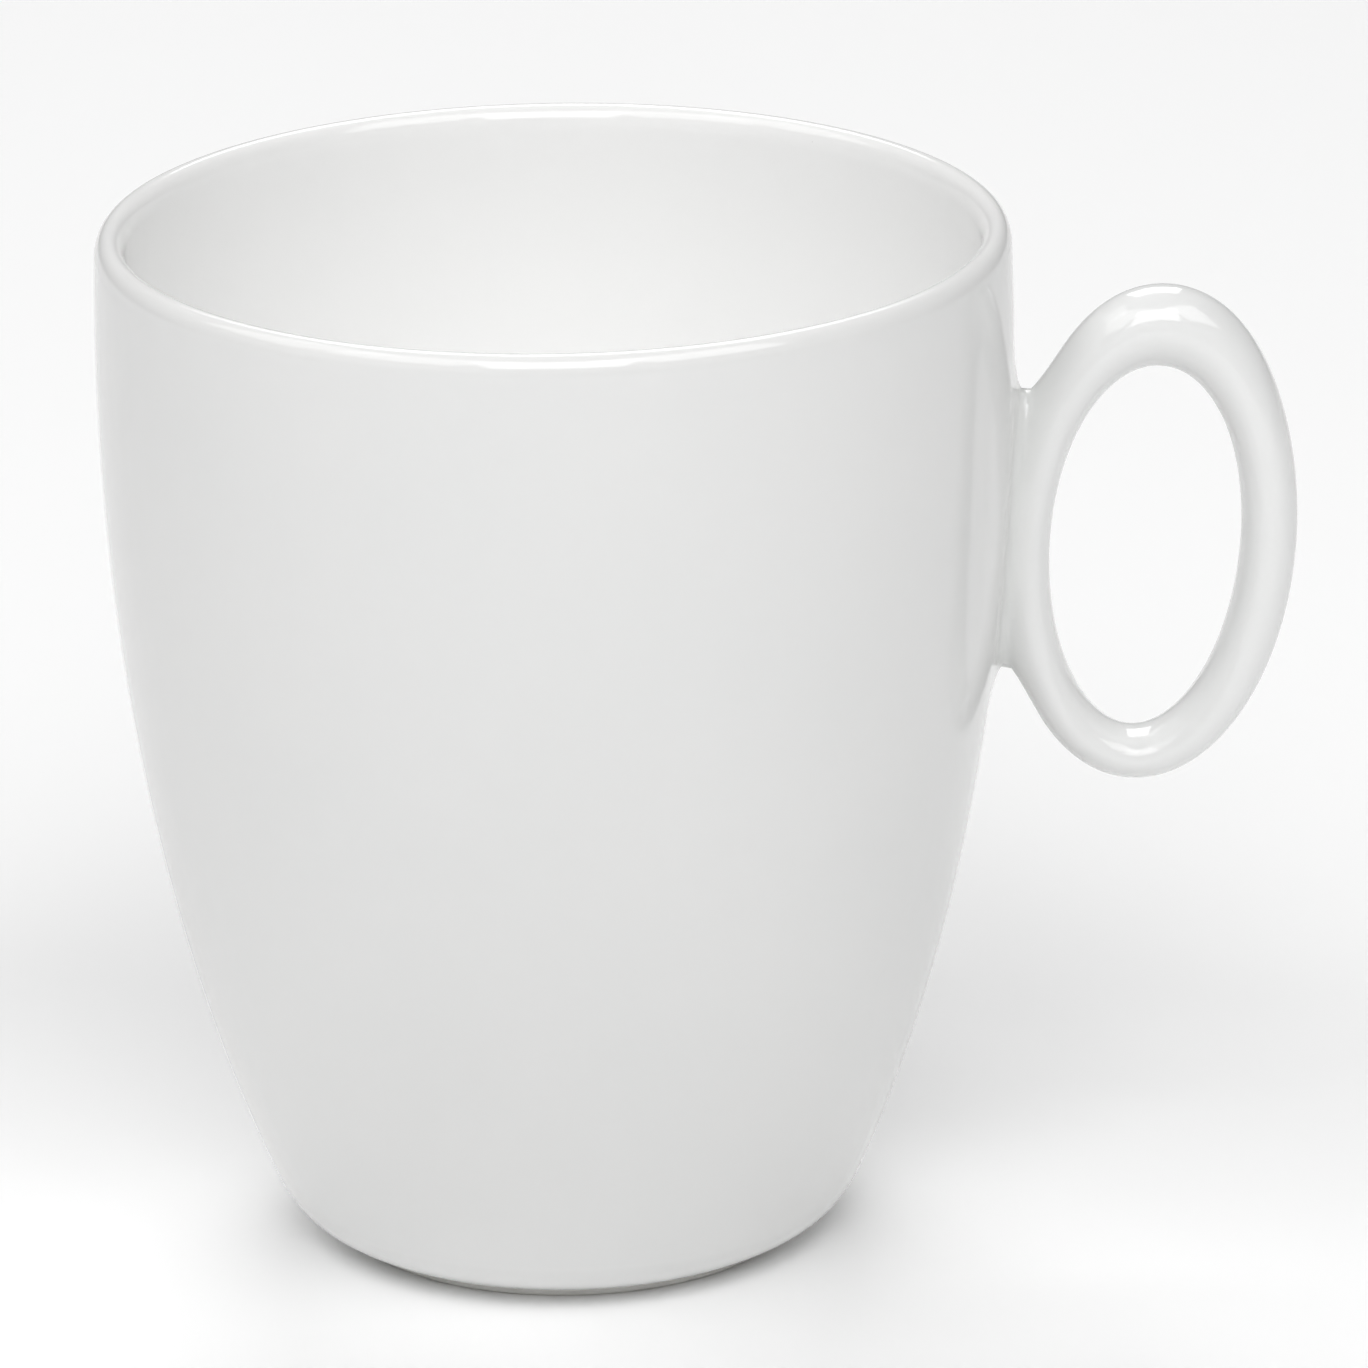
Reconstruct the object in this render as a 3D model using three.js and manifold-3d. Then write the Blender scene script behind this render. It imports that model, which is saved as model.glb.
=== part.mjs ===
// A porcelain mug: a cast cup with its foot ring, an oval ring handle cast on its own, the slip that lutes
// the handle to the wall, and the glaze over them, which leaves the foot ring's bearing face bare.
// Millimetres, +Z up, the handle along +X. The outlines below are those of the glazed surface, and every
// piece under the glaze is the same outline moved inwards.
import * as THREE from 'three';
import { mergeVertices } from 'three/addons/utils/BufferGeometryUtils.js';
import Module from 'manifold-3d';

// Cup, outside.
const height = 98.1;
const rimRadius = 42.44; // where the wall ends and the lip's rounding starts
const rimLean = THREE.MathUtils.degToRad(2.1); // the wall leans in by this at the rim
const heelRadius = 28.15; // where the wall ends and turns under to the foot
const heelHeight = 6.5;
const heelSlope = THREE.MathUtils.degToRad(66.6);
const rimPull = 0.5; // how far the wall keeps each end's direction, as a share of its height
const heelPull = 0.165;
const heelRounding = [2.5, 4.2]; // how far the heel keeps the wall's and the foot's direction

// Cup, inside.
const lipThickness = 2.8;
const lipRise = 2.1; // height of the lip's rounding
const wall = 3.0;
const floorHeight = 7.4;
const floorRadius = 13; // the flat middle of the floor
const floorRounding = [9, 11];
const insideTurn = 17; // height where the inside wall starts to turn into the floor

// Foot ring and the well inside it.
const footRadius = 21.6;
const footWidth = 2.9;
const footChamfer = 0.35;
const footSlope = THREE.MathUtils.degToRad(18);
const glazeLine = 0.8; // the glaze stops this far above the bearing face
const wellDepth = 2.6;
const wellRounding = 1.4;

// Glaze and the clearance under it.
const glaze = 0.3;
const gap = 0.3;

// Oval ring handle: half sizes of the curve that the middle of its section follows.
const ringHalfReach = 11.31;
const ringHalfHeight = 20.94;
const ringDrop = 6.87; // from the rim down to the ring's crown
const ringHalfThickness = 2.41;
const ringOuterExtra = 0.2; // the outer limb is thicker by this, and the wall limb thinner
const ringCrown = 1.45; // what the thumb rest adds at the top
const ringCrownSharpness = 8;
const ringHalfWidth = 3.7;
const ringSink = 0.37; // how far the glazed ring stands into the glazed wall

// Slip joint.
const slipBed = 0.5; // thickness where the handle is pressed onto the wall
const slipHalfWidth = 2.6;
const slipWallAngle = THREE.MathUtils.degToRad(45); // round the ring from its wall side, the height
const slipRingAngle = THREE.MathUtils.degToRad(53); // where the fillet runs out on the wall, and on the ring
const slipWallPull = 0.52; // how far the fillet keeps the wall's and the ring's direction
const slipRingPull = 0.88;

// Facets.
const turns = 40;
const wallSteps = 11;
const heelSteps = 4;
const lipSteps = 6;
const floorSteps = 5;
const ringSteps = 40;
const sectionSides = 12;
const webSteps = 10;
const notchSteps = 8;

const wasm = await Module();
wasm.setup();

const polar = (angle, length) => new THREE.Vector2(Math.cos(angle) * length, Math.sin(angle) * length);

function bezier(a, b, c, d, steps) {
  return new THREE.CubicBezierCurve(a, b, c, d).getPoints(steps);
}

// The glazed outline from the foot's glaze line over the heel, wall and lip, down the inside to the axis.
const heel = new THREE.Vector2(heelRadius, heelHeight);
const rim = new THREE.Vector2(rimRadius, height - lipRise);
const wallHeight = rim.y - heel.y;
const wallCurve = new THREE.CubicBezierCurve(
  heel,
  heel.clone().add(polar(heelSlope, heelPull * wallHeight)),
  rim.clone().add(polar(-Math.PI / 2 + rimLean, rimPull * wallHeight)),
  rim,
);
const footEdge = new THREE.Vector2(footRadius + glaze, glazeLine);

function outsideOutline() {
  const heelCurve = bezier(
    footEdge,
    footEdge.clone().add(polar(footSlope, heelRounding[1])),
    heel.clone().sub(polar(heelSlope, heelRounding[0])),
    heel,
    heelSteps,
  );
  return [...heelCurve.slice(0, -1), ...wallCurve.getPoints(wallSteps)];
}

function lipOutline() {
  const middle = new THREE.Vector2(rimRadius - lipThickness / 2, height - lipRise);
  const points = [];
  for (let i = 1; i < lipSteps; i++) {
    const a = (Math.PI * i) / lipSteps;
    points.push(new THREE.Vector2(Math.cos(a) * (lipThickness / 2), Math.sin(a) * lipRise).add(middle));
  }
  return points;
}

// Where the inside wall is at a point of the wall curve: a wall's thickness in, thinning to the lip's.
function insidePoint(t) {
  const thickness = THREE.MathUtils.lerp(wall, lipThickness, t);
  const along = wallCurve.getTangent(t);
  return wallCurve.getPoint(t).add(new THREE.Vector2(-along.y, along.x).multiplyScalar(thickness));
}

function insideOutline() {
  let turn = 0;
  while (insidePoint(turn).y < insideTurn) turn += 0.005;
  const points = [];
  for (let i = 0; i <= wallSteps; i++) points.push(insidePoint(THREE.MathUtils.lerp(1, turn, i / wallSteps)));
  const low = points.at(-1);
  const down = wallCurve.getTangent(turn).negate();
  const flat = new THREE.Vector2(floorRadius, floorHeight);
  const round = bezier(
    low,
    low.clone().add(down.multiplyScalar(floorRounding[0])),
    flat.clone().add(new THREE.Vector2(floorRounding[1], 0)),
    flat,
    floorSteps,
  );
  return [...points, ...round.slice(1), new THREE.Vector2(0, floorHeight)];
}

const outline = [...outsideOutline(), ...lipOutline(), ...insideOutline()];

// An outline moved to its right by a distance, which is outwards for the cup's. A point on the axis stays on it.
function moved(points, distance) {
  return points.map((point, i) => {
    const before = points[Math.max(i - 1, 0)];
    const after = points[Math.min(i + 1, points.length - 1)];
    const along = after.clone().sub(before).normalize();
    const x = point.x === 0 ? 0 : point.x + along.y * distance;
    return new THREE.Vector2(x, point.y - along.x * distance);
  });
}

function lathe(points) {
  return new THREE.LatheGeometry(points, turns).rotateX(Math.PI / 2);
}

function solid(geometry) {
  const bare = geometry.index ? geometry.toNonIndexed() : geometry;
  for (const name of Object.keys(bare.attributes)) if (name !== 'position') bare.deleteAttribute(name);
  const merged = mergeVertices(bare, 1e-4);
  const corners = [];
  const index = merged.index.array;
  for (let i = 0; i < index.length; i += 3) {
    const [a, b, c] = index.slice(i, i + 3);
    if (a !== b && b !== c && c !== a) corners.push(a, b, c);
  }
  return new wasm.Manifold(
    new wasm.Mesh({
      numProp: 3,
      vertProperties: new Float32Array(merged.attributes.position.array),
      triVerts: new Uint32Array(corners),
    }),
  );
}

function geometryOf(manifold) {
  const mesh = manifold.getMesh();
  const geometry = new THREE.BufferGeometry();
  geometry.setAttribute('position', new THREE.BufferAttribute(mesh.vertProperties, 3));
  geometry.setIndex(new THREE.BufferAttribute(mesh.triVerts, 1));
  const flat = geometry.toNonIndexed();
  flat.computeVertexNormals();
  return flat;
}

// The cup as one filled turning, moved by a distance, standing on a disc at the given height.
function cup(distance, bottom) {
  const points = moved(outline, distance);
  return solid(lathe([new THREE.Vector2(0, bottom), new THREE.Vector2(points[0].x, bottom), ...points]));
}

// The biscuit cup: the outline under the glaze, closed by the foot ring and the well.
function biscuit() {
  const points = moved(outline, -glaze - gap);
  const footInner = footRadius - footWidth;
  const wellTop = wellDepth + glaze + gap;
  const foot = [
    [0, wellTop],
    [footInner - wellRounding, wellTop],
    [footInner, wellTop - wellRounding],
    [footInner, footChamfer],
    [footInner + footChamfer, 0],
    [footRadius - footChamfer, 0],
    [footRadius, footChamfer],
    [footRadius, points[0].y],
  ].map(([x, y]) => new THREE.Vector2(x, y));
  return lathe([...foot, ...points.slice(1)]);
}

// The glaze in the well, from its middle to the glaze line on the ring's inner side.
function wellGlaze() {
  const side = footRadius - footWidth - gap;
  const top = wellDepth + glaze;
  const points = [
    [0, wellDepth],
    [side - wellRounding, wellDepth],
    [side - glaze, wellDepth - wellRounding + glaze],
    [side - glaze, glazeLine],
    [side, glazeLine],
    [side, top - wellRounding],
    [side - wellRounding, top],
    [0, top],
  ].map(([x, y]) => new THREE.Vector2(x, y));
  return lathe(points);
}

// Radius of the glazed wall at a height.
function wallRadiusAt(z) {
  let low = 0;
  let high = 1;
  for (let i = 0; i < 40; i++) {
    const middle = (low + high) / 2;
    if (wallCurve.getPoint(middle).y < z) low = middle;
    else high = middle;
  }
  return wallCurve.getPoint(low).x;
}

// The ring stands parallel to the wall beside it.
const ringHeight = height - ringDrop - ringHalfHeight - ringHalfThickness - ringCrown;
const ringTilt = Math.atan(wallRadiusAt(ringHeight + 1) - wallRadiusAt(ringHeight));
const ringCentre = new THREE.Vector2(
  wallRadiusAt(ringHeight) + (ringHalfReach + ringHalfThickness - ringOuterExtra) / Math.cos(ringTilt) - ringSink,
  ringHeight,
);

function ringMiddle(angle) {
  return new THREE.Vector2(ringHalfReach * Math.cos(angle), ringHalfHeight * Math.sin(angle))
    .rotateAround(new THREE.Vector2(), -ringTilt)
    .add(ringCentre);
}

function ringNormal(angle) {
  return new THREE.Vector2(ringHalfHeight * Math.cos(angle), ringHalfReach * Math.sin(angle))
    .normalize()
    .rotateAround(new THREE.Vector2(), -ringTilt);
}

function ringThicknessAt(angle) {
  const crown = ((1 + Math.sin(angle)) / 2) ** ringCrownSharpness;
  return ringHalfThickness + ringCrown * crown + ringOuterExtra * Math.cos(angle);
}

// The handle ring, moved by a distance: a torus with each vertex taken to its place on the oval.
function ring(distance) {
  const tube = 0.5;
  const geometry = new THREE.TorusGeometry(1, tube, sectionSides, ringSteps);
  const position = geometry.attributes.position;
  for (let i = 0; i < position.count; i++) {
    const [x, y, z] = [position.getX(i), position.getY(i), position.getZ(i)];
    const angle = Math.atan2(y, x);
    const across = (Math.hypot(x, y) - 1) / tube;
    const place = ringMiddle(angle).addScaledVector(
      ringNormal(angle),
      across * (ringThicknessAt(angle) + distance),
    );
    position.setXYZ(i, place.x, (-z / tube) * (ringHalfWidth + distance), place.y);
  }
  return solid(geometry);
}

// A point of the ring's outline.
function ringEdge(angle) {
  return ringMiddle(angle).addScaledVector(ringNormal(angle), ringThicknessAt(angle));
}

// The notch where ring and wall part, above (direction 1) or below (direction -1) the joint: a fillet that
// comes down the wall and goes up the ring.
function notch(direction, distance) {
  const wallAt = (z) => new THREE.Vector2(wallRadiusAt(z), z);
  const start = wallAt(ringEdge(Math.PI - direction * slipWallAngle).y);
  const angle = Math.PI - direction * notchEnd(distance);
  const end = ringEdge(angle);
  const span = start.distanceTo(end);
  const alongWall = wallAt(start.y - direction).sub(start).normalize();
  const alongRing = ringNormal(angle).rotateAround(new THREE.Vector2(), (direction * Math.PI) / 2);
  return bezier(
    start,
    start.clone().addScaledVector(alongWall, slipWallPull * span),
    end.clone().addScaledVector(alongRing, slipRingPull * span),
    end,
    notchSteps,
  );
}

// The slip under the glaze ends a little before the glaze over it does.
function notchEnd(distance) {
  return slipRingAngle + 0.05 * distance;
}

// The web of slip between ring and wall, from notch to notch, moved by a distance.
function web(distance) {
  const upper = moved(notch(1, distance), -distance).reverse();
  const lower = moved(notch(-1, distance), distance);
  const points = [];
  for (let i = 0; i <= webSteps; i++) {
    const z = THREE.MathUtils.lerp(upper.at(-1).y, lower[0].y, i / webSteps);
    points.push(new THREE.Vector2(wallRadiusAt(z) - wall / 2, z));
  }
  points.push(...lower);
  for (let i = 0; i <= webSteps; i++) {
    const turn = THREE.MathUtils.lerp(-notchEnd(distance), notchEnd(distance), i / webSteps);
    points.push(ringMiddle(Math.PI - turn));
  }
  points.push(...upper);
  const half = slipHalfWidth + distance;
  const geometry = new THREE.ExtrudeGeometry(new THREE.Shape(points), { depth: 2 * half, bevelEnabled: false });
  return solid(geometry.translate(0, 0, -half).rotateX(Math.PI / 2));
}

const buried = -1; // below the bearing face, where a filled cup is only cut away

function handle() {
  return ring(-glaze - gap).subtract(cup(slipBed, buried));
}

function slipJoint() {
  const handleRoom = ring(-glaze).subtract(cup(slipBed - gap, buried));
  return web(-glaze - gap).subtract(cup(-glaze, buried)).subtract(handleRoom);
}

function coat() {
  const outer = cup(0, glazeLine).add(ring(0)).add(web(0));
  const inner = cup(-glaze, buried).add(ring(-glaze)).add(web(-glaze));
  return outer.subtract(inner);
}

const biscuitFinish = new THREE.MeshStandardMaterial({ color: 0xe9e6df, roughness: 0.75 });
const slipFinish = new THREE.MeshStandardMaterial({ color: 0xe4e2da, roughness: 0.8 });
const glazeFinish = new THREE.MeshStandardMaterial({ color: 0xf0f1ee, roughness: 0.08 });

const group = new THREE.Group();
function piece(name, geometry, material) {
  const mesh = new THREE.Mesh(geometry, material);
  mesh.name = name;
  group.add(mesh);
}
piece('body', biscuit(), biscuitFinish);
piece('handle_ring', geometryOf(handle()), biscuitFinish);
piece('handle_slip_joint', geometryOf(slipJoint()), slipFinish);
piece('glaze_coat', geometryOf(coat()), glazeFinish);
piece('glaze_foot_well', wellGlaze(), glazeFinish);

// The frame's origin is the middle of the space that the mug takes up on the table.
group.position.x = -new THREE.Box3().setFromObject(group).getCenter(new THREE.Vector3()).x;

export default group;
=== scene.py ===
import math

import bmesh
import bpy
import numpy as np
from mathutils import Matrix, Vector


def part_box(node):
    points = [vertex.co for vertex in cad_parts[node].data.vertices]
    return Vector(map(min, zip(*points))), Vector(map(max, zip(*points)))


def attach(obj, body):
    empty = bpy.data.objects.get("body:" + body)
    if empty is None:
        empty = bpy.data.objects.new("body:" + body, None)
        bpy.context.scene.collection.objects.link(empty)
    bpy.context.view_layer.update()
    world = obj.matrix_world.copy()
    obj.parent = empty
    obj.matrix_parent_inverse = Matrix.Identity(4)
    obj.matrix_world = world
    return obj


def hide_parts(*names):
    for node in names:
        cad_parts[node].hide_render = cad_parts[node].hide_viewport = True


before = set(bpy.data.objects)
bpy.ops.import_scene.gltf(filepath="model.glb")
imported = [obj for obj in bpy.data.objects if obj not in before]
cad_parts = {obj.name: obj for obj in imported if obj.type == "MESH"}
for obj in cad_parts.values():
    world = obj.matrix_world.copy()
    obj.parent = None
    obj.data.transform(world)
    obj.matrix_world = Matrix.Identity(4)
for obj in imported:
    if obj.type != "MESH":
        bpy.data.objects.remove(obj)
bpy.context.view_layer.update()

# A porcelain mug: the biscuit cup, its oval ring handle, the slip that lutes the two, and the glaze over
# them. Lengths are in millimetres until a point goes into a mesh, which is in metres. Outlines are pairs of
# radius and height, and those of the glazed surface: what lies under the glaze is that outline moved in.
MM = 0.001

coat_low, coat_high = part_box("glaze_coat")
body_low, body_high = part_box("body")
AXIS_X = (body_low.x + body_high.x) / 2 / MM
HEIGHT = coat_high.z / MM
GLAZE_LINE = coat_low.z / MM

# Cup, outside.
RIM_RADIUS = 42.44
RIM_LEAN = math.radians(2.1)
HEEL = (28.15, 6.5)
HEEL_SLOPE = math.radians(66.6)
RIM_PULL, HEEL_PULL = 0.5, 0.165
HEEL_ROUNDING = (2.5, 4.2)

# Cup, inside.
LIP_THICKNESS, LIP_RISE = 2.8, 2.1
WALL = 3.0
FLOOR_HEIGHT, FLOOR_RADIUS = 7.4, 13.0
FLOOR_ROUNDING = (9.0, 11.0)
INSIDE_TURN = 17.0

# Foot ring and well.
FOOT_RADIUS, FOOT_CHAMFER = 21.6, 0.35
FOOT_SLOPE = math.radians(18)
WELL_RADIUS, WELL_DEPTH, WELL_ROUNDING = 18.1, 2.6, 1.7

# The glaze and the hair's breadth that keeps its inner face off the biscuit.
GLAZE, CLEAR = 0.3, 0.02

# Ring handle: the curve that the middle of its section follows, and the section's half sizes.
RING_REACH, RING_HEIGHT = 11.31, 20.94
RING_DROP, RING_SINK = 6.87, 0.37
RING_THICKNESS, RING_OUTER_EXTRA, RING_WIDTH = 2.41, 0.2, 3.7
RING_CROWN, RING_CROWN_SHARPNESS = 1.45, 8

# Slip joint: how softly ring and wall run into each other, beside the limb and in the notches.
BLEND_SIDE, BLEND_NOTCH = 2.6, 4.6
BLEND_TURNS = (math.radians(16), math.radians(42))
# Shares of the blend width: how far out the glaze is opened round the joint, and the slip's beds reach.
OPENING, BED = 0.7, 0.5
# How far along wall and ring the glaze's mesh is evened out beyond the joint.
JOINT_REACH = 4.0

# Mesh steps.
TURNS = 168
WALL_STEPS, HEEL_STEPS, LIP_STEPS, FLOOR_STEPS = 72, 14, 16, 16
RING_STEPS, RING_SIDES = 176, 40
SHARP = math.radians(35)

# Finishes.
OUTSIDE_WHITE = (0.748, 0.751, 0.746)
# Painted light: the handle's lighter white stands for the overhead light on the ring.
HANDLE_PAINTED_LIGHT_WHITE = (0.795, 0.798, 0.793)
# Painted light: the inside's lighter white stands for the light that bounces round the cup's interior.
INSIDE_PAINTED_LIGHT_WHITE = (0.918, 0.918, 0.914)
# The lip's warm tone is the thin glaze; its lighter white is painted light on the rim, which faces up to
# the lamps.
LIP_THIN_GLAZE_AND_LIGHT_WHITE = (0.86, 0.858, 0.85)
CLOUD_WHITE = (0.77, 0.768, 0.762)
POOLED_GREEN = (0.735, 0.748, 0.732)
IRON_SPECK = (0.30, 0.28, 0.25)
LIP_BAND = (2.2, 0.2)
SPECK_SPACING, SPECK_RADIUS = 12.0, 0.14
CLOUD_SIZE, RIPPLE_SIZE, PEEL_SIZE = 26, 9, 1.6
RIPPLE_DEPTH, PEEL_DEPTH = 0.028, 0.0016
BISCUIT_WHITE, BISCUIT_GRAIN = (0.82, 0.81, 0.78), 0.35
SLIP_WHITE, SLIP_GRAIN = (0.80, 0.79, 0.76), 0.6
FOOT_GREY = (0.62, 0.61, 0.59)
SAND_DEPTH = 0.012

# Studio, in metres.
FLOOR_WHITE, SWEEP_GREY = (0.97, 0.97, 0.97), (0.7, 0.7, 0.7)
SWEEP_RADIUS, SWEEP_CURVE, SWEEP_WALL = 2.0, 0.5, 0.6
FADE = (1.1, 1.9)
AIR = 0.02
BOUNCES = 12
CAMERA_BACK, CAMERA_UP = 0.9337, 0.372
CAMERA_YAW, CAMERA_PITCH, CAMERA_ROLL = (math.radians(a) for a in (0.7077, 18.8661, -0.802))
CAMERA_LENS = 276.8
LIGHT_SIZE, LIGHT_DISTANCE, LIGHT_AIM = 0.9, 1.6, Vector((0, 0, 0.05))
SOFTBOXES = (  # azimuth, elevation, watts
    (0, 44, 10.5),
    (45, 50, 7.2),
    (180, 50, 10.8),
    (270, 48, 4.2),
    (315, 50, 5.4),
)


# ---------------------------------------------------------------- outlines

def bezier(a, b, c, d, steps):
    t = np.linspace(0, 1, steps + 1)[:, None]
    a, b, c, d = (np.array(p, float) for p in (a, b, c, d))
    return (1 - t) ** 3 * a + 3 * t * (1 - t) ** 2 * b + 3 * t * t * (1 - t) * c + t ** 3 * d


def polar(angle, length):
    return np.array([math.cos(angle), math.sin(angle)]) * length


HEEL_POINT = np.array(HEEL)
RIM_POINT = np.array([RIM_RADIUS, HEIGHT - LIP_RISE])
WALL_HEIGHT = RIM_POINT[1] - HEEL_POINT[1]
WALL_CURVE = (
    HEEL_POINT,
    HEEL_POINT + polar(HEEL_SLOPE, HEEL_PULL * WALL_HEIGHT),
    RIM_POINT + polar(RIM_LEAN - math.pi / 2, RIM_PULL * WALL_HEIGHT),
    RIM_POINT,
)
WALL_POINTS = bezier(*WALL_CURVE, 2000)


def wall_radius(z):
    return np.interp(z, WALL_POINTS[:, 1], WALL_POINTS[:, 0])


def unit(v):
    return v / np.linalg.norm(v, axis=-1, keepdims=True)


def moved(points, distance):
    """An outline moved outwards by a distance. Points on the axis stay on it."""
    along = np.empty_like(points)
    along[1:-1] = points[2:] - points[:-2]
    along[0], along[-1] = points[1] - points[0], points[-1] - points[-2]
    along = unit(along)
    out = points + np.stack([along[:, 1], -along[:, 0]], 1) * distance
    out[points[:, 0] == 0, 0] = 0
    return out


def outside():
    """Up the outside: the foot's edge, the heel and the wall."""
    edge = np.array([FOOT_RADIUS + GLAZE, GLAZE_LINE])
    heel = bezier(
        edge,
        edge + polar(FOOT_SLOPE, HEEL_ROUNDING[1]),
        HEEL_POINT - polar(HEEL_SLOPE, HEEL_ROUNDING[0]),
        HEEL_POINT,
        HEEL_STEPS,
    )
    return np.concatenate([heel[:-1], bezier(*WALL_CURVE, WALL_STEPS)])


def lip():
    a = np.linspace(0, math.pi, LIP_STEPS + 1)[1:-1]
    middle = np.array([RIM_RADIUS - LIP_THICKNESS / 2, HEIGHT - LIP_RISE])
    return middle + np.stack([np.cos(a) * LIP_THICKNESS / 2, np.sin(a) * LIP_RISE], 1)


def inside():
    """Down the inside: a wall's thickness in from the outside, turning into the flat floor."""
    t = np.linspace(0, 1, len(WALL_POINTS))
    along = unit(np.gradient(WALL_POINTS, axis=0))
    thickness = (WALL + (LIP_THICKNESS - WALL) * t)[:, None]
    line = WALL_POINTS + np.stack([-along[:, 1], along[:, 0]], 1) * thickness
    low = np.argmax(line[:, 1] >= INSIDE_TURN)
    pick = np.linspace(len(line) - 1, low, WALL_STEPS // 2 + 1).round().astype(int)
    flat = np.array([FLOOR_RADIUS, FLOOR_HEIGHT])
    turn = bezier(
        line[low],
        line[low] - along[low] * FLOOR_ROUNDING[0],
        flat + [FLOOR_ROUNDING[1], 0],
        flat,
        FLOOR_STEPS,
    )
    middle = np.linspace(FLOOR_RADIUS, 0, 6)[1:]
    return np.concatenate([line[pick], turn[1:], np.stack([middle, middle * 0 + FLOOR_HEIGHT], 1)])


def cup_outline():
    return np.concatenate([outside(), lip(), inside()])


# ---------------------------------------------------------------- ring handle

RING_Z = HEIGHT - RING_DROP - RING_HEIGHT - RING_THICKNESS - RING_CROWN
RING_TILT = math.atan(wall_radius(RING_Z + 1) - wall_radius(RING_Z))
RING_X = (
    wall_radius(RING_Z)
    + (RING_REACH + RING_THICKNESS - RING_OUTER_EXTRA) / math.cos(RING_TILT)
    - RING_SINK
)


def tilted(u, v):
    """Along the ring's short and long axes, to the plane through the cup's axis and the handle."""
    c, s = math.cos(RING_TILT), math.sin(RING_TILT)
    return np.stack([u * c + v * s, -u * s + v * c], -1)


def ring_middle(angle):
    return tilted(RING_REACH * np.cos(angle), RING_HEIGHT * np.sin(angle)) + [RING_X, RING_Z]


def ring_normal(angle):
    return unit(tilted(RING_HEIGHT * np.cos(angle), RING_REACH * np.sin(angle)))


def ring_thickness(angle):
    crown = ((1 + np.sin(angle)) / 2) ** RING_CROWN_SHARPNESS
    return RING_THICKNESS + RING_CROWN * crown + RING_OUTER_EXTRA * np.cos(angle)


def ring_angle(x, z):
    """The angle of the nearest point of the ring's middle curve."""
    c, s = math.cos(RING_TILT), math.sin(RING_TILT)
    dx, dz = x - RING_X, z - RING_Z
    u, v = dx * c - dz * s, dx * s + dz * c
    angle = np.arctan2(v * RING_REACH, u * RING_HEIGHT)
    for _ in range(12):
        cos, sin = np.cos(angle), np.sin(angle)
        e, g = RING_REACH * cos - u, RING_HEIGHT * sin - v
        slope = -RING_REACH * sin * e + RING_HEIGHT * cos * g
        bend = (RING_REACH * sin) ** 2 + (RING_HEIGHT * cos) ** 2
        bend = bend - RING_REACH * cos * e - RING_HEIGHT * sin * g
        angle = angle - np.clip(slope / np.maximum(abs(bend), 1e-3) * np.sign(bend), -0.3, 0.3)
    return angle


# ---------------------------------------------------------------- the glazed surface as a field

def wall_distance(p):
    """How far points stand off the outside of the wall."""
    r, z = np.hypot(p[:, 0], p[:, 1]), p[:, 2]
    slope = (wall_radius(z + 0.2) - wall_radius(z - 0.2)) / 0.4
    return (r - wall_radius(z)) / np.sqrt(1 + slope ** 2)


def ring_distance(p):
    angle = ring_angle(p[:, 0], p[:, 2])
    away = ((p[:, [0, 2]] - ring_middle(angle)) * ring_normal(angle)).sum(1)
    thick = ring_thickness(angle)
    g = np.sqrt((away / thick) ** 2 + (p[:, 1] / RING_WIDTH) ** 2) + 1e-9
    steep = np.sqrt((away / thick ** 2) ** 2 + (p[:, 1] / RING_WIDTH ** 2) ** 2) + 1e-9
    return (g - 1) * g / steep


def blend_width(p):
    """The slip runs up into the notches, and is narrow beside the limb."""
    turn = abs(np.angle(np.exp(1j * (ring_angle(p[:, 0], p[:, 2]) - math.pi))))
    t = np.clip((turn - BLEND_TURNS[0]) / (BLEND_TURNS[1] - BLEND_TURNS[0]), 0, 1)
    return BLEND_SIDE + (BLEND_NOTCH - BLEND_SIDE) * t * t * (3 - 2 * t)


def joint_share(p):
    """1 in the middle of the slip's fillet, 0 where wall or ring runs alone."""
    k = blend_width(p)
    return np.clip(1 - abs(wall_distance(p) - ring_distance(p)) / k, 0, 1)


def field(p):
    """Wall and ring run together softly: 0 on the glazed surface, and below 0 inside it."""
    k = blend_width(p)
    a, b = wall_distance(p), ring_distance(p)
    h = np.clip(1 - abs(a - b) / k, 0, 1)
    return np.minimum(a, b) - h * h * k / 4


def gradient(of, p, step=0.02):
    out = np.empty_like(p)
    for i in range(3):
        d = np.zeros(3)
        d[i] = step
        out[:, i] = (of(p + d) - of(p - d)) / (2 * step)
    return out


def onto_surface(p, level=0.0, rounds=4, of=field):
    """Takes points straight to a level of a field."""
    for _ in range(rounds):
        g = gradient(of, p)
        p = p - (of(p) - level)[:, None] * g / np.maximum((g * g).sum(1), 0.1)[:, None]
    return p


# ---------------------------------------------------------------- modelling

def in_place(r, z):
    """A point of an outline, in the plane through the handle, in metres."""
    return Vector(((AXIS_X + r) * MM, 0, z * MM))


def coords(mesh):
    co = np.empty(len(mesh.vertices) * 3, np.float32)
    mesh.vertices.foreach_get("co", co)
    return (co.reshape(-1, 3).astype(float) / MM) - [AXIS_X, 0, 0]


def set_coords(mesh, p):
    mesh.vertices.foreach_set("co", ((p + [AXIS_X, 0, 0]) * MM).astype(np.float32).ravel())
    mesh.update()


def only(obj):
    bpy.ops.object.select_all(action="DESELECT")
    obj.select_set(True)
    bpy.context.view_layer.objects.active = obj


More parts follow.
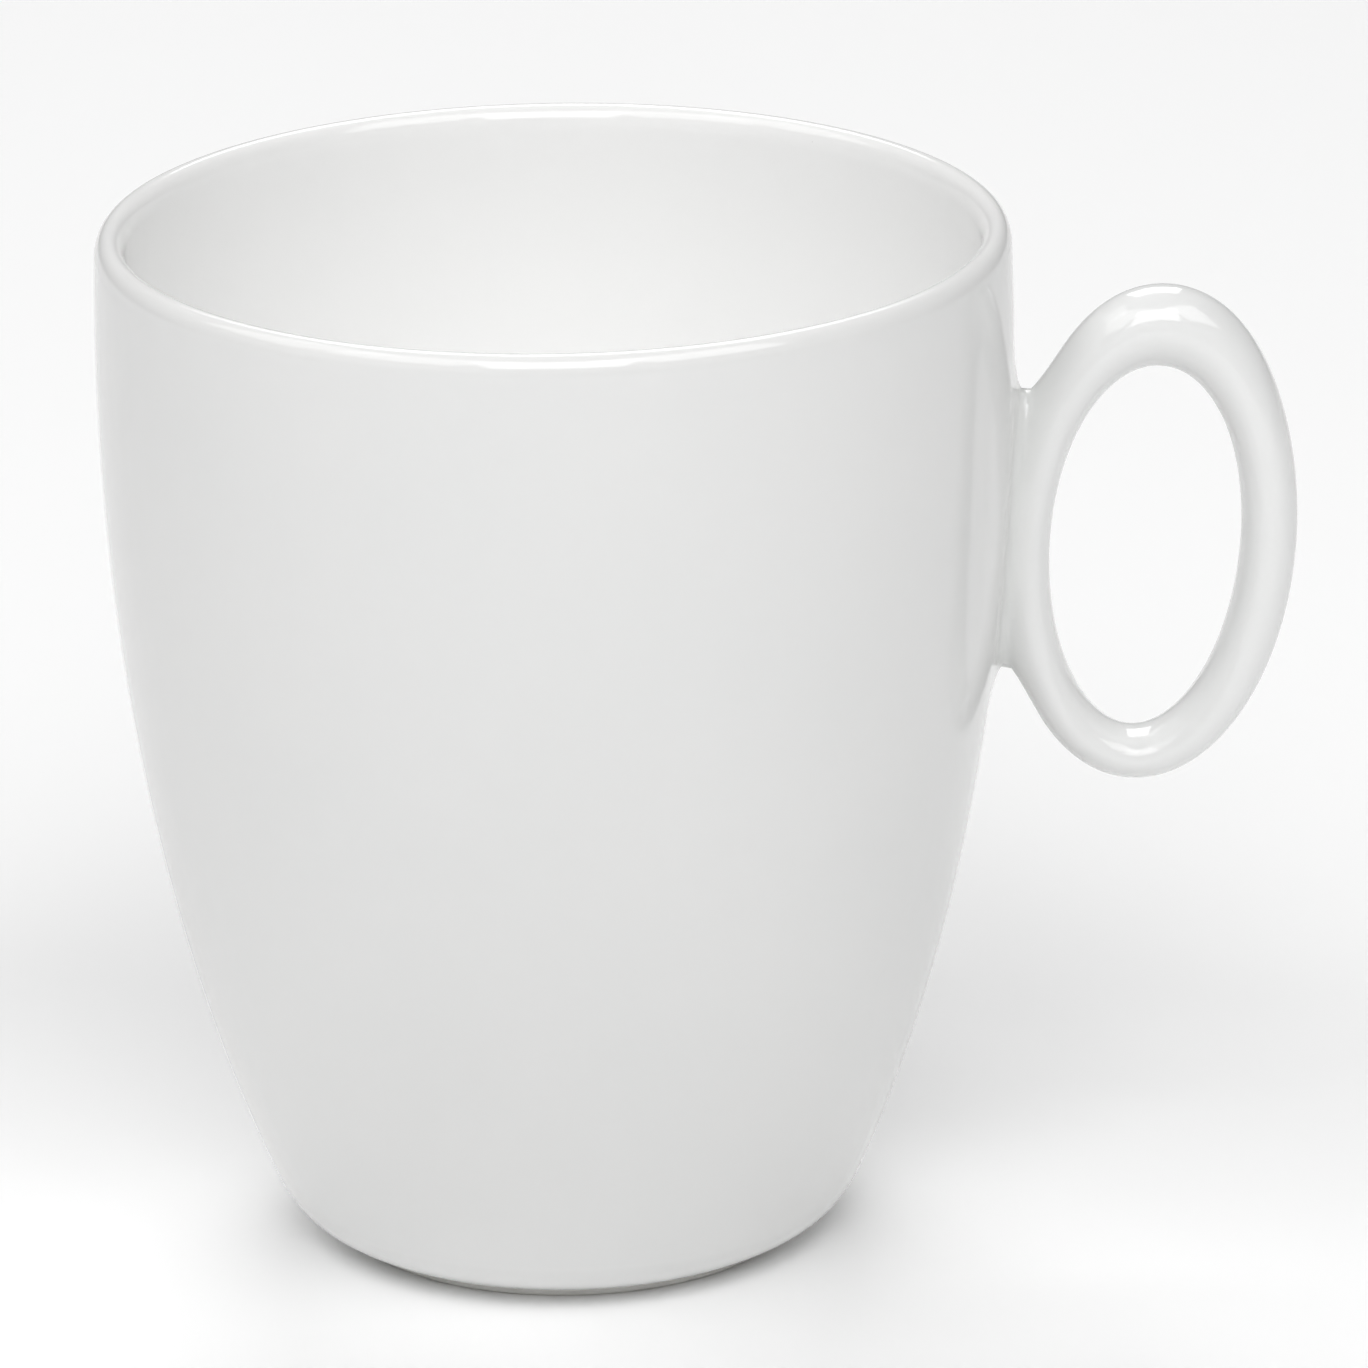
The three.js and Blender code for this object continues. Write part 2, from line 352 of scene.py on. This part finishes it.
def turned(name, outline):
    """An outline drawn by extruding one point, then spun round the cup's axis."""
    bpy.ops.object.select_all(action="DESELECT")
    bpy.ops.mesh.primitive_plane_add(size=MM, location=in_place(*outline[0]))
    obj = bpy.context.object
    obj.name = obj.data.name = name
    bpy.ops.object.transform_apply(location=True, rotation=True, scale=True)
    bpy.ops.object.mode_set(mode="EDIT")
    bpy.ops.mesh.select_mode(type="VERT")
    bpy.ops.mesh.select_all(action="SELECT")
    bpy.ops.mesh.merge(type="CENTER")
    for before, after in zip(outline[:-1], outline[1:]):
        bpy.ops.mesh.extrude_region_move(
            TRANSFORM_OT_translate={"value": in_place(*after) - in_place(*before)}
        )
    bpy.ops.mesh.select_all(action="SELECT")
    bpy.ops.mesh.spin(steps=TURNS, angle=2 * math.pi, center=(AXIS_X * MM, 0, 0), axis=(0, 0, 1))
    bpy.ops.mesh.select_all(action="SELECT")
    bpy.ops.mesh.remove_doubles(threshold=2e-6)
    bpy.ops.mesh.normals_make_consistent(inside=False)
    bpy.ops.object.mode_set(mode="OBJECT")
    bpy.ops.object.shade_smooth()
    return obj


def ring(name, distance):
    """The handle ring, moved by a distance: a torus with each vertex taken to its place on the oval."""
    tube = 0.5
    bpy.ops.object.select_all(action="DESELECT")
    bpy.ops.mesh.primitive_torus_add(
        major_segments=RING_STEPS, minor_segments=RING_SIDES, major_radius=1, minor_radius=tube
    )
    obj = bpy.context.object
    obj.name = obj.data.name = name
    co = np.array([v.co for v in obj.data.vertices], float)
    angle = np.arctan2(co[:, 1], co[:, 0])
    across = (np.hypot(co[:, 0], co[:, 1]) - 1) / tube
    out = across * (ring_thickness(angle) + distance)
    plane = ring_middle(angle) + ring_normal(angle) * out[:, None]
    side = -co[:, 2] / tube * (RING_WIDTH + distance)
    set_coords(obj.data, np.stack([plane[:, 0], side, plane[:, 1]], 1))
    bpy.ops.object.shade_smooth()
    return obj


def select_faces(obj, test):
    """Edit mode, with the faces selected whose middles pass a test, in millimetres from the cup's axis."""
    only(obj)
    bpy.ops.object.mode_set(mode="OBJECT")
    middle = np.empty(len(obj.data.polygons) * 3)
    obj.data.polygons.foreach_get("center", middle)
    middle = middle.reshape(-1, 3) / MM - [AXIS_X, 0, 0]
    chosen = test(middle)
    for part in (obj.data.vertices, obj.data.edges, obj.data.polygons):
        part.foreach_set("select", np.zeros(len(part), bool))
    obj.data.polygons.foreach_set("select", chosen)
    bpy.ops.object.mode_set(mode="EDIT")
    bpy.ops.mesh.select_mode(type="FACE")


def joint_weight(p, reach):
    """1 on and near the slip's fillet, falling to 0 further along wall and ring, and 0 inside the cup."""
    wall, limb = wall_distance(p), ring_distance(p)
    t = np.clip((reach + blend_width(p) - np.maximum(wall, limb)) / reach, 0, 1)
    t[(wall < -WALL / 2) | (p[:, 0] < 0)] = 0
    return t * t * (3 - 2 * t)


def settled(obj, weight, rounds, level=0.0):
    """Evens out the mesh where it has weight, and draws it onto a level of the glazed surface's field."""
    mesh = obj.data
    p = coords(mesh)
    edges = np.empty(len(mesh.edges) * 2, np.int64)
    mesh.edges.foreach_get("vertices", edges)
    a, b = edges.reshape(-1, 2).T
    count = np.bincount(a, minlength=len(p)) + np.bincount(b, minlength=len(p))
    chosen = np.flatnonzero(weight > 0)
    for _ in range(rounds):
        total = np.zeros_like(p)
        np.add.at(total, a, p[b])
        np.add.at(total, b, p[a])
        mean = total[chosen] / count[chosen][:, None]
        p[chosen] += (mean - p[chosen]) * (0.7 * weight[chosen])[:, None]
        p[chosen] = onto_surface(p[chosen], level, rounds=1)
    p[chosen] = onto_surface(p[chosen], level)
    set_coords(mesh, p)


def opened(obj, test):
    """Deletes the faces whose middles pass a test."""
    select_faces(obj, test)
    bpy.ops.mesh.delete(type="FACE")
    bpy.ops.object.mode_set(mode="OBJECT")


def select_open_edges(obj, test):
    """Edit mode, with the open edges selected whose first point passes a test."""
    only(obj)
    bpy.ops.object.mode_set(mode="EDIT")
    bpy.ops.mesh.select_mode(type="EDGE")
    bpy.ops.mesh.select_all(action="DESELECT")
    bm = bmesh.from_edit_mesh(obj.data)
    for edge in bm.edges:
        if edge.is_boundary and test(edge.verts[0].co / MM):
            edge.select_set(True)
    bmesh.update_edit_mesh(obj.data)


def rounded_edge(obj, test, radius):
    """Bevels the sharp edges whose middles pass a test, given in millimetres from the cup's axis."""
    only(obj)
    bpy.ops.object.mode_set(mode="EDIT")
    bpy.ops.mesh.select_mode(type="EDGE")
    bpy.ops.mesh.select_all(action="DESELECT")
    bm = bmesh.from_edit_mesh(obj.data)
    for edge in bm.edges:
        middle = (edge.verts[0].co + edge.verts[1].co) / 2 / MM - Vector((AXIS_X, 0, 0))
        if edge.is_manifold and edge.calc_face_angle(0) > SHARP and test(middle):
            edge.select_set(True)
    bmesh.update_edit_mesh(obj.data)
    bpy.ops.mesh.bevel(offset=radius * MM, segments=3, affect="EDGES")
    bpy.ops.object.mode_set(mode="OBJECT")


def joined_at_joint(wall_piece, limb, keep_joint, share, cuts):
    """Wall and ring opened where they meet, or kept only there, and their open edges bridged."""
    def footprint(p):
        on_wall = (p[:, 0] > 0) & (p[:, 2] > HEEL[1]) & (wall_distance(p) > -WALL / 2)
        return on_wall & (ring_distance(p) < blend_width(p) * share)

    def bedded(p):
        return wall_distance(p) < blend_width(p) * share

    opened(wall_piece, (lambda p: ~footprint(p)) if keep_joint else footprint)
    opened(limb, (lambda p: ~bedded(p)) if keep_joint else bedded)
    only(wall_piece)
    limb.select_set(True)
    bpy.ops.object.join()
    select_open_edges(wall_piece, lambda co: co.z > HEEL[1])
    bpy.ops.mesh.bridge_edge_loops(number_cuts=cuts, interpolation="LINEAR")
    bpy.ops.mesh.select_all(action="SELECT")
    bpy.ops.mesh.normals_make_consistent(inside=False)
    bpy.ops.object.mode_set(mode="OBJECT")
    return wall_piece


def glaze_coat():
    """The glaze over cup, slip and ring: one skin with its own thickness, and a bead along its edge."""
    coat = turned("glaze_over_cup_and_handle", cup_outline())
    joined_at_joint(coat, ring("ring_skin", 0), keep_joint=False, share=OPENING, cuts=4)
    settled(coat, joint_weight(coords(coat.data), JOINT_REACH), rounds=60)
    only(coat)
    shell = coat.modifiers.new("thickness", "SOLIDIFY")
    shell.thickness = (GLAZE - CLEAR) * MM
    shell.offset = -1
    shell.use_even_offset = True
    bpy.ops.object.modifier_apply(modifier=shell.name)
    p = coords(coat.data)
    r = np.hypot(p[:, 0], p[:, 1])
    by_the_line = (p[:, 2] < GLAZE_LINE + GLAZE) & (p[:, 2] > GLAZE_LINE + CLEAR)
    inner = by_the_line & (r < FOOT_RADIUS + GLAZE)
    p[inner, :2] *= ((FOOT_RADIUS + CLEAR) / r[inner])[:, None]
    p[inner, 2] = GLAZE_LINE + CLEAR
    set_coords(coat.data, p)
    rounded_edge(coat, lambda m: m.z < GLAZE_LINE + CLEAR / 2, GLAZE * 0.4)
    p = coords(coat.data)
    off = wall_distance(p)
    # The inside mark carries the painted lighter white of the cup's interior, and keeps the clouds off it.
    mark(coat, "inside", np.clip((-off - 0.6) / 1.6, 0, 1) * (p[:, 2] > GLAZE_LINE + 4))
    # The handle mark carries the ring's painted lighter white.
    mark(coat, "handle", np.clip((off - 0.5) / 2, 0, 1))
    mark(coat, "pooled", joint_share(p) * (off > -1))
    return coat


def mark(obj, name, values):
    """Keeps a number for each vertex of a piece."""
    attribute = obj.data.attributes.new(name, "FLOAT", "POINT")
    values = np.broadcast_to(values, len(obj.data.vertices))
    attribute.data.foreach_set("value", values.astype(np.float32))


def slip_joint():
    """The slip between ring and wall: a bed against each, and the fillet that runs round the two beds."""
    slip = turned("slip_between_ring_and_wall", outside())
    ring_bed = ring("ring_bed", 0)
    mark(slip, "side", 0)
    mark(ring_bed, "side", 1)
    joined_at_joint(slip, ring_bed, keep_joint=True, share=BED, cuts=12)
    side = np.empty(len(slip.data.vertices), np.float32)
    slip.data.attributes["side"].data.foreach_get("value", side)
    p = coords(slip.data)
    beds = (side == 0, wall_distance), (side == 1, ring_distance)
    for chosen, distance in beds:
        p[chosen] = onto_surface(p[chosen], CLEAR - GLAZE, of=distance)
    set_coords(slip.data, p)
    fillet = ((side > 0) & (side < 1)).astype(float)
    settled(slip, fillet, rounds=12, level=-GLAZE - CLEAR)
    return slip


def body():
    """The biscuit cup: the glazed outline moved in, and the foot ring turned below the glaze line."""
    cup = moved(cup_outline(), -GLAZE)
    well_side, well_top = WELL_RADIUS + GLAZE + CLEAR, WELL_DEPTH + GLAZE + CLEAR
    turn = np.linspace(0, math.pi / 2, 8)
    corner = np.array([well_side - WELL_ROUNDING, well_top - WELL_ROUNDING])
    foot = np.concatenate([
        well_ceiling(well_side, well_top),
        corner + WELL_ROUNDING * np.stack([np.sin(turn), np.cos(turn)], 1),
        foot_edge(well_side, 1),
        foot_edge(FOOT_RADIUS, -1)[::-1],
        [[FOOT_RADIUS, GLAZE_LINE]],
    ])
    above = np.argmax(cup[:, 0] > FOOT_RADIUS + 0.05)
    return turned("cup_biscuit", np.concatenate([foot, cup[above:]]))


def well_ceiling(side, height):
    """The flat of the well, out from the axis."""
    return [[side * share, height] for share in (0, 0.3, 0.6)]


def foot_edge(radius, side):
    """The rounded edge from the foot ring's side to its bearing face, which lies to that side of it."""
    turn = np.linspace(0, math.pi / 2, 5)
    r = radius + side * FOOT_CHAMFER * (1 - np.cos(turn))
    return np.stack([r, FOOT_CHAMFER * (1 - np.sin(turn))], 1)


def foot_well_glaze():
    """The glaze in the well inside the foot ring, ending in a bead above the bearing face."""
    side, top = WELL_RADIUS + GLAZE, WELL_DEPTH + GLAZE
    turn = np.linspace(0, math.pi / 2, 9)

    def bowl(depth):
        rounding = WELL_ROUNDING - depth
        corner = np.array([side - depth - rounding, top - depth - rounding])
        outline = corner + rounding * np.stack([np.sin(turn), np.cos(turn)], 1)
        return np.concatenate([well_ceiling(side, top - depth), outline])

    bead = GLAZE / 2
    round_it = np.linspace(0, math.pi, 7)
    middle = np.array([side - bead, GLAZE_LINE + bead])
    end = middle + bead * np.stack([np.cos(round_it), -np.sin(round_it)], 1)
    return turned("glaze_of_foot_well", np.concatenate([bowl(0), end, bowl(GLAZE)[::-1]]))


# ---------------------------------------------------------------- finishes

class Maths:
    """A shader socket that is worked with as a number: every operator adds its node."""

    def __init__(self, tree, socket):
        self.tree, self.socket = tree, socket

    def _math(self, operation, *values):
        settings = {"operation": operation}
        return self.tree.node("ShaderNodeMath", settings, dict(enumerate(values)))["Value"]

    def __add__(self, other):
        return self._math("ADD", self, other)

    def __rsub__(self, other):
        return self._math("SUBTRACT", other, self)

    def __mul__(self, other):
        return self._math("MULTIPLY", self, other)

    __radd__, __rmul__ = __add__, __mul__

    def between(self, low, high):
        """0 at low, 1 at high, eased."""
        settings = {"interpolation_type": "SMOOTHSTEP"}
        values = {"Value": self, "From Min": low, "From Max": high}
        return self.tree.node("ShaderNodeMapRange", settings, values)["Result"]


class Finish:
    """A material's node tree, with one way to add a node."""

    def __init__(self, name):
        self.material = bpy.data.materials.new(name)
        self.material.use_nodes = True
        self.nodes = self.material.node_tree.nodes
        self.links = self.material.node_tree.links
        self.shader = self.nodes["Principled BSDF"]
        self.place = self.node("ShaderNodeTexCoord")["Object"]

    def node(self, kind, settings=None, values=None):
        made = self.nodes.new(kind)
        for name, value in (settings or {}).items():
            setattr(made, name, value)
        for name, value in (values or {}).items():
            self.put(made.inputs[name], value)
        return {out.name: Maths(self, out) for out in made.outputs if out.enabled}

    def put(self, socket, value):
        if isinstance(value, Maths):
            self.links.new(value.socket, socket)
        elif socket.type == "RGBA":
            socket.default_value = (*value, 1)
        else:
            socket.default_value = value

    def set(self, values):
        for name, value in values.items():
            self.put(self.shader.inputs[name], value)

    def noise(self, size, detail=2.0, roughness=0.5):
        """A noise whose features are about that size, in millimetres, from 0 to 1."""
        scale = 1 / (size * MM)
        values = {"Vector": self.place, "Scale": scale, "Detail": detail, "Roughness": roughness}
        return self.node("ShaderNodeTexNoise", values=values)["Fac"]

    def mixed(self, share, first, second):
        """A colour: the first where share is 0, the second where it is 1."""
        factor, a, b = 0, 6, 7
        values = {factor: share, a: first, b: second}
        return self.node("ShaderNodeMix", {"data_type": "RGBA"}, values)["Result"]

    def height(self):
        parts = self.node("ShaderNodeSeparateXYZ", values={"Vector": self.place})
        return parts["Z"] * (1 / MM)

    def marked(self, name):
        return self.node("ShaderNodeAttribute", {"attribute_name": name})["Fac"]

    def relief(self, *layers):
        """Bumps the surface by layers of (pattern, height in millimetres)."""
        total = sum(pattern * depth for pattern, depth in layers)
        values = {"Height": total, "Distance": MM, "Strength": 1.0}
        self.set({"Normal": self.node("ShaderNodeBump", values=values)["Normal"]})


def clear_glaze():
    """White porcelain under clear glaze: warm and thin over the lip, pooled and greenish in the joint.
    Painted light makes it lighter inside the cup, on the handle and over the lip.
    """
    glaze = Finish("clear_glaze")
    # Painted light: the inside of the cup is painted a lighter white than the outside, for the light that
    # bounces round in it.
    white = glaze.mixed(glaze.marked("inside"), OUTSIDE_WHITE, INSIDE_PAINTED_LIGHT_WHITE)
    cloud = glaze.noise(CLOUD_SIZE, detail=3)
    clouded = cloud.between(0.3, 0.7) * (1 - glaze.marked("inside"))
    white = glaze.mixed(clouded * 0.5, white, CLOUD_WHITE)
    # Painted light: the ring is painted a lighter white, as if lit from above.
    white = glaze.mixed(glaze.marked("handle"), white, HANDLE_PAINTED_LIGHT_WHITE)
    white = glaze.mixed(glaze.marked("pooled") * 0.55, white, POOLED_GREEN)
    # The lip band is partly the thin glaze's warm tone and partly painted light: the rim is painted lighter
    # where it faces up.
    lip_glaze_and_light_share = glaze.height().between(HEIGHT - LIP_BAND[0], HEIGHT - LIP_BAND[1])
    white = glaze.mixed(lip_glaze_and_light_share * 0.6, white, LIP_THIN_GLAZE_AND_LIGHT_WHITE)
    voronoi = {"Vector": glaze.place, "Scale": 1 / (SPECK_SPACING * MM)}
    near = glaze.node("ShaderNodeTexVoronoi", values=voronoi)["Distance"] * SPECK_SPACING
    ragged = near + glaze.noise(0.25) * 0.12
    speck = 1 - ragged.between(SPECK_RADIUS * 0.8, SPECK_RADIUS * 1.5)
    white = glaze.mixed(speck * 0.6, white, IRON_SPECK)
    ripple = glaze.noise(RIPPLE_SIZE, detail=1)
    peel = glaze.noise(PEEL_SIZE, detail=1)
    roughness = 0.05 + peel * 0.03 + glaze.noise(14) * 0.03
    glaze.set({"Base Color": white, "Roughness": roughness, "IOR": 1.52})
    glaze.relief((ripple, RIPPLE_DEPTH), (peel, PEEL_DEPTH))
    return glaze.material


def bare_biscuit(name, white, grain):
    """Unglazed porcelain: matt, faintly sandy, greyed where the foot rubs."""
    biscuit = Finish(name)
    sand = biscuit.noise(grain, detail=4, roughness=0.7)
    darker = tuple(c * 0.96 for c in white)
    tone = biscuit.mixed(biscuit.noise(7).between(0.3, 0.7), white, darker)
    rubbed = (1 - biscuit.height().between(0.02, 0.3)) * biscuit.noise(3).between(0.3, 0.7)
    tone = biscuit.mixed(rubbed * 0.6, tone, FOOT_GREY)
    biscuit.set({"Base Color": tone, "Roughness": 0.72 + sand * 0.16})
    biscuit.relief((sand, SAND_DEPTH))
    return biscuit.material


# ---------------------------------------------------------------- camera, floor and light

def camera():
    """A long lens, a little above the rim."""
    data = bpy.data.cameras.new("camera")
    data.lens, data.sensor_width = CAMERA_LENS, 36
    data.clip_start, data.clip_end = 0.1, 20
    obj = bpy.data.objects.new("camera", data)
    bpy.context.scene.collection.objects.link(obj)
    yaw, pitch, roll = CAMERA_YAW, CAMERA_PITCH, CAMERA_ROLL
    ahead, level = Vector((math.sin(yaw), math.cos(yaw), 0)), Vector((math.cos(yaw), -math.sin(yaw), 0))
    forward = ahead * math.cos(pitch) - Vector((0, 0, math.sin(pitch)))
    above = level.cross(forward)
    right = level * math.cos(roll) + above * math.sin(roll)
    up = above * math.cos(roll) - level * math.sin(roll)
    turn = Matrix((right, up, -forward)).transposed().to_4x4()
    obj.matrix_world = Matrix.Translation((AXIS_X * MM, -CAMERA_BACK, CAMERA_UP)) @ turn
    bpy.context.scene.camera = obj


def softbox(azimuth, elevation, power):
    """A square soft light round the mug. Azimuth 0 is the camera's side and 90 the handle's."""
    a, e = math.radians(azimuth), math.radians(elevation)
    towards = Vector((math.sin(a) * math.cos(e), -math.cos(a) * math.cos(e), math.sin(e)))
    data = bpy.data.lights.new("softbox", "AREA")
    data.shape, data.size, data.energy = "SQUARE", LIGHT_SIZE, power
    obj = bpy.data.objects.new("softbox", data)
    bpy.context.scene.collection.objects.link(obj)
    obj.location = towards * LIGHT_DISTANCE + LIGHT_AIM
    obj.rotation_euler = towards.to_track_quat("Z", "Y").to_euler()


def sweep():
    """The studio's pale floor, which curves up into a low wall all round."""
    bpy.ops.object.select_all(action="DESELECT")
    bpy.ops.mesh.primitive_circle_add(vertices=96, radius=SWEEP_RADIUS, fill_type="NGON")
    obj = bpy.context.object
    obj.name = "floor"
    bpy.ops.object.mode_set(mode="EDIT")
    bpy.ops.mesh.select_mode(type="EDGE")
    bpy.ops.mesh.select_all(action="SELECT")
    steps = 10
    for i in range(steps):
        a, b = (math.pi / 2 * k / steps for k in (i, i + 1))
        before = SWEEP_RADIUS + SWEEP_CURVE * math.sin(a)
        after = SWEEP_RADIUS + SWEEP_CURVE * math.sin(b)
        bpy.ops.mesh.extrude_edges_move()
        bpy.ops.transform.resize(value=(after / before, after / before, 1))
        bpy.ops.transform.translate(value=(0, 0, SWEEP_CURVE * (math.cos(a) - math.cos(b))))
    bpy.ops.mesh.extrude_edges_move(TRANSFORM_OT_translate={"value": (0, 0, SWEEP_WALL)})
    bpy.ops.object.mode_set(mode="OBJECT")
    bpy.ops.object.shade_smooth_by_angle(angle=math.radians(30))
    paper = Finish("pale_floor")
    away = paper.node("ShaderNodeVectorMath", {"operation": "LENGTH"}, {"Vector": paper.place})["Value"]
    tone = paper.mixed(away.between(*FADE), FLOOR_WHITE, SWEEP_GREY)
    paper.set({"Base Color": tone, "Roughness": 0.9})
    obj.data.materials.append(paper.material)


def studio():
    scene = bpy.context.scene
    scene.view_settings.view_transform = "Standard"
    scene.cycles.diffuse_bounces = scene.cycles.max_bounces = BOUNCES
    scene.world = bpy.data.worlds.new("studio")
    scene.world.use_nodes = True
    air = scene.world.node_tree.nodes["Background"].inputs
    air["Color"].default_value = (1, 1, 1, 1)
    air["Strength"].default_value = AIR
    for light in SOFTBOXES:
        softbox(*light)


def finished(piece, node, material):
    """Gives a piece its finish and its place in the frame."""
    piece.data.materials.clear()
    piece.data.materials.append(material)
    only(piece)
    bpy.ops.object.shade_smooth()
    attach(piece, "root")
    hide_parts(node)


camera()
sweep()
studio()
glaze = clear_glaze()
biscuit = bare_biscuit("bare_biscuit", BISCUIT_WHITE, BISCUIT_GRAIN)
slip = bare_biscuit("dried_slip", SLIP_WHITE, SLIP_GRAIN)
finished(glaze_coat(), "glaze_coat", glaze)
finished(foot_well_glaze(), "glaze_foot_well", glaze)
finished(body(), "body", biscuit)
finished(ring("ring_biscuit", -GLAZE - CLEAR), "handle_ring", biscuit)
finished(slip_joint(), "handle_slip_joint", slip)
